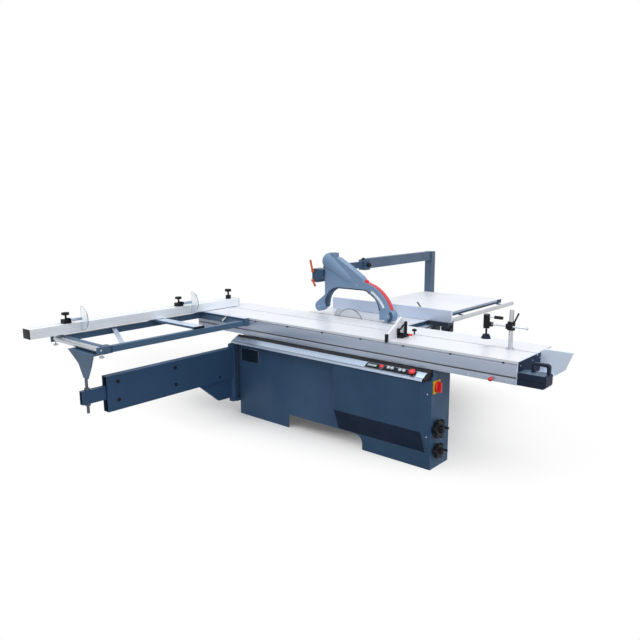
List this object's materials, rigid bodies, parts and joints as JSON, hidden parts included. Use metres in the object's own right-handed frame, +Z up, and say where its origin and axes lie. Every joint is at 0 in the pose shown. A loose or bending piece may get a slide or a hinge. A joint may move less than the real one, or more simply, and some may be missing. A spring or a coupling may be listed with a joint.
{
  "type": "sliding table saw",
  "caption": "Sliding table panel saw with an outrigger, crosscut fence and swing support arm, a tilting and rising blade unit, an overhead guard, a rip fence and a hold-down clamp.",
  "frame": {"origin": "on the floor at the centre of the four anchor bolt holes, in the blade's plane", "axes": "+X along the sliding table towards the operator end, +Y across towards the rip fence, +Z up"},
  "size_m": [3.436, 4.24, 1.466],
  "materials": {
    "cabinet_paint": "satin slate blue powder coat",
    "base_paint": "dark powder coat",
    "frame_paint": "satin slate powder coat",
    "guard_shell": "moulded blue grey",
    "table_aluminium": "anodised extrusion",
    "strip_aluminium": "bright drawn extrusion",
    "fence_aluminium": "anodised extrusion",
    "clamp_aluminium": "machined light alloy",
    "table_iron": "ground and polished",
    "unit_iron": "plain casting",
    "sheet_white": "light powder coat",
    "tray_paint": "light blue powder coat",
    "bright_steel": "ground",
    "blade_steel": "polished disc",
    "black_plastic": "moulded",
    "bumper_rubber": "moulded",
    "belt_rubber": "ribbed",
    "red_plastic": "glossy",
    "orange_plastic": "moulded",
    "white_plastic": "glossy",
    "clear_plastic": "clear flap",
    "cage_brass": "roller cage",
    "motor_paint": "enamel"
  },
  "bodies": {
    "base": {"front_cabinet": "cabinet_paint", "rear_base": "base_paint", "front_cover": "cabinet_paint", "console_strip": "strip_aluminium", "control_panel": "black_plastic", "base_rail": "bright_steel", "fixed_table": "table_iron", "extension_table": "sheet_white", "rip_rail": "bright_steel", "guard_post": "frame_paint", "hinge_post": "frame_paint", "trunnion_shoes": "unit_iron"},
    "carriage": {"carriage": "table_aluminium", "end_tray": "tray_paint", "bumper": "bumper_rubber", "pull_handle": "black_plastic"},
    "outrigger": {"outrigger_frame": "frame_paint"},
    "tilt_unit": {"tilt_frame": "unit_iron"},
    "lift_unit": {"lift_carriage": "unit_iron", "motor": "motor_paint", "drive_belt": "belt_rubber", "riving_knife": "bright_steel"},
    "arbor_unit": {"arbor": "bright_steel", "saw_blade": "blade_steel"},
    "table_lock_knob": {"table_lock_knob": "red_plastic"},
    "roller_cage": {"roller_cage": "cage_brass"},
    "outrigger_roller": {"outrigger_roller": "strip_aluminium"},
    "cross_support": {"cross_support": "frame_paint"},
    "outrigger_lever": {"outrigger_lever": "bright_steel"},
    "crosscut_fence": {"crosscut_fence": "fence_aluminium"},
    "pivot_knob": {"pivot_knob": "black_plastic"},
    "outer_stop": {"outer_stop": "black_plastic"},
    "outer_flap": {"outer_flap": "clear_plastic"},
    "inner_stop": {"inner_stop": "black_plastic"},
    "inner_flap": {"inner_flap": "clear_plastic"},
    "swing_arm": {"swing_arm": "frame_paint"},
    "arm_tube": {"arm_tube": "frame_paint"},
    "support_rod": {"support_rod": "bright_steel"},
    "motor_pulley": {"motor_pulley": "bright_steel"},
    "scoring_blade": {"scoring_blade": "blade_steel"},
    "lift_handwheel": {"lift_handwheel": "black_plastic"},
    "tilt_handwheel": {"tilt_handwheel": "black_plastic"},
    "guard_arm": {"guard_arm": "frame_paint"},
    "guard_hood": {"guard_hood": "guard_shell"},
    "lock_lever_upper": {"lock_lever_upper": "orange_plastic"},
    "lock_lever_lower": {"lock_lever_lower": "orange_plastic"},
    "rip_holder": {"rip_holder": "clamp_aluminium"},
    "rip_fence": {"rip_fence": "fence_aluminium"},
    "rip_lever": {"rip_lever": "black_plastic"},
    "edging_shoe": {"edging_shoe": "bright_steel"},
    "shoe_lever": {"shoe_lever": "black_plastic"},
    "clamp_column": {"clamp_column": "bright_steel"},
    "clamp_sleeve": {"clamp_sleeve": "black_plastic"},
    "clamp_rod": {"clamp_rod": "bright_steel"},
    "clamp_spindle": {"clamp_spindle": "bumper_rubber"},
    "main_switch": {"main_switch": "red_plastic"},
    "emergency_stop": {"emergency_stop": "red_plastic"},
    "stop_button": {"stop_button": "red_plastic"},
    "rocker_left": {"rocker_left": "white_plastic"},
    "rocker_right": {"rocker_right": "white_plastic"}
  },
  "joints": [
    {"name": "table_slide", "type": "slide", "parent": "base", "child": "carriage", "axis": [1, 0, 0], "range_m": [-1.45, 1.45]},
    {"name": "cage_slide", "type": "slide", "parent": "base", "child": "roller_cage", "axis": [1, 0, 0], "range_m": [-0.726, 0.726]},
    {"name": "table_lock", "type": "slide", "parent": "carriage", "child": "table_lock_knob", "axis": [0, -1, 0], "range_m": [0, 0.008]},
    {"name": "outrigger_slide", "type": "slide", "parent": "carriage", "child": "outrigger", "axis": [1, 0, 0], "range_m": [0, 1.2]},
    {"name": "roller_spin", "type": "hinge", "parent": "outrigger", "child": "outrigger_roller", "pos_m": [-1.235, -2.045, 0.865], "axis": [1, 0, 0], "continuous": true},
    {"name": "cross_slide", "type": "slide", "parent": "outrigger", "child": "cross_support", "axis": [0, 1, 0], "range_m": [-0.6, 0.35]},
    {"name": "outrigger_clamp", "type": "hinge", "parent": "outrigger", "child": "outrigger_lever", "pos_m": [-1.175, -0.646, 0.856], "axis": [0, 1, 0], "range_deg": [0, 90]},
    {"name": "fence_swivel", "type": "hinge", "parent": "outrigger", "child": "crosscut_fence", "pos_m": [-1.516, -0.28, 0.94], "axis": [0, 0, 1], "range_deg": [-47, 47]},
    {"name": "pivot_clamp", "type": "hinge", "parent": "outrigger", "child": "pivot_knob", "pos_m": [-1.516, -0.28, 1], "axis": [0, 0, 1], "continuous": true},
    {"name": "outer_stop_slide", "type": "slide", "parent": "crosscut_fence", "child": "outer_stop", "axis": [0, 1, 0], "range_m": [-0.25, 0.85]},
    {"name": "outer_flap_flip", "type": "hinge", "parent": "outer_stop", "child": "outer_flap", "pos_m": [-1.455, -1.871, 1.012], "axis": [0, -1, 0], "range_deg": [0, 90]},
    {"name": "inner_stop_slide", "type": "slide", "parent": "crosscut_fence", "child": "inner_stop", "axis": [0, 1, 0], "range_m": [-0.8, 0.4]},
    {"name": "inner_flap_flip", "type": "hinge", "parent": "inner_stop", "child": "inner_flap", "pos_m": [-1.455, -0.782, 1.012], "axis": [0, -1, 0], "range_deg": [0, 90]},
    {"name": "arm_swing", "type": "hinge", "parent": "base", "child": "swing_arm", "pos_m": [-1.05, -0.66, 0.4], "axis": [0, 0, 1], "range_deg": [-45, 45]},
    {"name": "arm_extend", "type": "slide", "parent": "swing_arm", "child": "arm_tube", "axis": [0, -1, 0], "range_m": [0, 0.5]},
    {"name": "rod_turn", "type": "hinge", "parent": "arm_tube", "child": "support_rod", "pos_m": [-1.05, -2.09, 0.498], "axis": [0, 0, 1], "continuous": true},
    {"name": "blade_tilt", "type": "hinge", "parent": "base", "child": "tilt_unit", "pos_m": [-0.21, 0, 0.9], "axis": [-1, 0, 0], "range_deg": [0, 45]},
    {"name": "blade_lift", "type": "slide", "parent": "tilt_unit", "child": "lift_unit", "axis": [0, 0, 1], "range_m": [-0.085, 0]},
    {"name": "arbor_spin", "type": "hinge", "parent": "lift_unit", "child": "arbor_unit", "pos_m": [-0.21, 0.05, 0.829], "axis": [0, 1, 0], "continuous": true},
    {"name": "motor_spin", "type": "hinge", "parent": "lift_unit", "child": "motor_pulley", "pos_m": [-0.21, 0.11, 0.64], "axis": [0, 1, 0], "continuous": true},
    {"name": "scoring_spin", "type": "hinge", "parent": "lift_unit", "child": "scoring_blade", "pos_m": [0.03, 0.04, 0.842], "axis": [0, 1, 0], "continuous": true},
    {"name": "lift_wheel_turn", "type": "hinge", "parent": "base", "child": "lift_handwheel", "pos_m": [1.01, -0.55, 0.304], "axis": [1, 0, 0], "continuous": true},
    {"name": "tilt_wheel_turn", "type": "hinge", "parent": "base", "child": "tilt_handwheel", "pos_m": [1.01, -0.55, 0.138], "axis": [1, 0, 0], "continuous": true},
    {"name": "guard_slide", "type": "slide", "parent": "base", "child": "guard_arm", "axis": [0, 1, 0], "range_m": [0, 0.2]},
    {"name": "hood_lift", "type": "slide", "parent": "guard_arm", "child": "guard_hood", "axis": [0, 0, 1], "range_m": [0, 0.1]},
    {"name": "upper_lock_turn", "type": "hinge", "parent": "guard_arm", "child": "lock_lever_upper", "pos_m": [-0.589, -0.07, 1.294], "axis": [0, -1, 0], "range_deg": [0, 60]},
    {"name": "lower_lock_turn", "type": "hinge", "parent": "guard_arm", "child": "lock_lever_lower", "pos_m": [-0.589, -0.07, 1.211], "axis": [0, 1, 0], "range_deg": [0, 60]},
    {"name": "rip_slide", "type": "slide", "parent": "base", "child": "rip_holder", "axis": [0, 1, 0], "range_m": [-0.22, 1]},
    {"name": "rip_fence_slide", "type": "slide", "parent": "rip_holder", "child": "rip_fence", "axis": [1, 0, 0], "range_m": [-0.12, 0.4]},
    {"name": "rip_clamp", "type": "hinge", "parent": "rip_holder", "child": "rip_lever", "pos_m": [0.607, 0.361, 0.858], "axis": [1, 0, 0], "range_deg": [0, 60]},
    {"name": "shoe_slide", "type": "slide", "parent": "carriage", "child": "edging_shoe", "axis": [1, 0, 0], "range_m": [-1.2, 0.5]},
    {"name": "shoe_clamp", "type": "hinge", "parent": "edging_shoe", "child": "shoe_lever", "pos_m": [0.625, -0.45, 0.93], "axis": [0, 0, -1], "range_deg": [0, 60]},
    {"name": "clamp_swivel", "type": "hinge", "parent": "carriage", "child": "clamp_column", "pos_m": [1.412, -0.28, 1], "axis": [0, 0, 1], "range_deg": [-120, 120]},
    {"name": "clamp_height", "type": "slide", "parent": "clamp_column", "child": "clamp_sleeve", "axis": [0, 0, 1], "range_m": [-0.015, 0.07]},
    {"name": "clamp_reach", "type": "slide", "parent": "clamp_sleeve", "child": "clamp_rod", "axis": [1, 0, 0], "range_m": [-0.05, 0.095]},
    {"name": "clamp_press", "type": "slide", "parent": "clamp_rod", "child": "clamp_spindle", "axis": [0, 0, 1], "range_m": [-0.04, 0]},
    {"name": "main_switch_turn", "type": "hinge", "parent": "base", "child": "main_switch", "pos_m": [1.01, -0.565, 0.616], "axis": [1, 0, 0], "range_deg": [0, 90]},
    {"name": "emergency_press", "type": "slide", "parent": "base", "child": "emergency_stop", "axis": [0, 0.4472, -0.8944], "range_m": [0, 0.004], "stiffness_N_per_m": 800},
    {"name": "stop_press", "type": "slide", "parent": "base", "child": "stop_button", "axis": [0, 0.4472, -0.8944], "range_m": [0, 0.004], "stiffness_N_per_m": 500},
    {"name": "left_rocker_tip", "type": "hinge", "parent": "base", "child": "rocker_left", "pos_m": [0.676, -0.66012, 0.70961], "axis": [0, 0.8944, 0.4472], "range_deg": [-8, 8], "stiffness_Nm_per_rad": 0.6},
    {"name": "right_rocker_tip", "type": "hinge", "parent": "base", "child": "rocker_right", "pos_m": [0.776, -0.66012, 0.70961], "axis": [0, 0.8944, 0.4472], "range_deg": [-8, 8], "stiffness_Nm_per_rad": 0.6}
  ],
  "couplings": [
    {"joint": "cage_slide", "follows": "table_slide", "ratio": 0.5},
    {"joint": "arm_swing", "follows": "table_slide", "rad_per_m": 0.5416},
    {"joint": "motor_spin", "follows": "arbor_spin", "ratio": 0.63636},
    {"joint": "lift_wheel_turn", "follows": "blade_lift", "rad_per_m": 314.16},
    {"joint": "tilt_wheel_turn", "follows": "blade_tilt", "ratio": 60}
  ]
}
